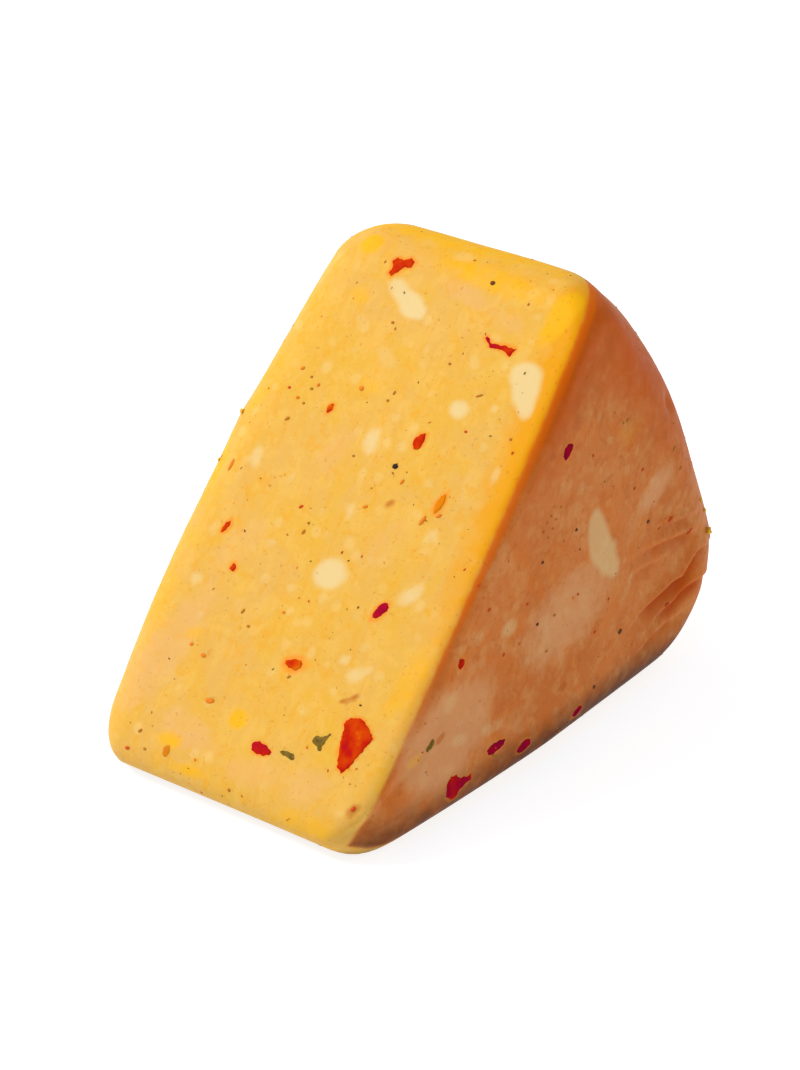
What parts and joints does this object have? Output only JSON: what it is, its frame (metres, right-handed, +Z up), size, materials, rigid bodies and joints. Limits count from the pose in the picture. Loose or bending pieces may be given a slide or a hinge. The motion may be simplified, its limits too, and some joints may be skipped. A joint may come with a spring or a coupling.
{
  "type": "cheese wedge",
  "caption": "Wedge of spiced orange semi-hard cheese with softened edges, lying on a cut face, with chilli flakes, herb bits and seeds set in its paste.",
  "frame": {"origin": "under the middle of the wedge's bounding box, on the surface that the wedge lies on", "axes": "+X across the thickness of the wheel that the wedge was cut from, +Y from the wedge's tip to its rind, +Z up from the cut face that it lies on"},
  "size_m": [0.0535, 0.0894, 0.0679],
  "materials": {
    "paste": "satin",
    "chilli": "satin",
    "herb": "matte",
    "seed": "satin",
    "peppercorn": "matte"
  },
  "bodies": {
    "root": {"cheese_paste": "paste", "pepper_piece": "chilli", "chilli_bent": "chilli", "chilli_strand": "chilli", "chilli_cut_1": "chilli", "chilli_cut_2": "chilli", "chilli_cut_3": "chilli", "chilli_cut_4": "chilli", "chilli_cut_5": "chilli", "chilli_cut_6": "chilli", "chilli_cut_7": "chilli", "chilli_cut_8": "chilli", "chilli_wedge": "chilli", "chilli_right_1": "chilli", "chilli_right_2": "chilli", "chilli_right_3": "chilli", "chilli_right_4": "chilli", "chilli_right_5": "chilli", "chilli_left_1": "chilli", "chilli_left_2": "chilli", "chilli_left_3": "chilli", "chilli_left_4": "chilli", "chilli_rind_1": "chilli", "chilli_rind_2": "chilli", "herb_cut_1": "herb", "herb_cut_2": "herb", "herb_right_1": "herb", "herb_left_1": "herb", "herb_rind_1": "herb", "seed_cut_1": "seed", "seed_left_1": "seed", "peppercorn_cut_1": "peppercorn", "peppercorn_right_1": "peppercorn", "peppercorn_rind_1": "peppercorn"}
  },
  "joints": []
}
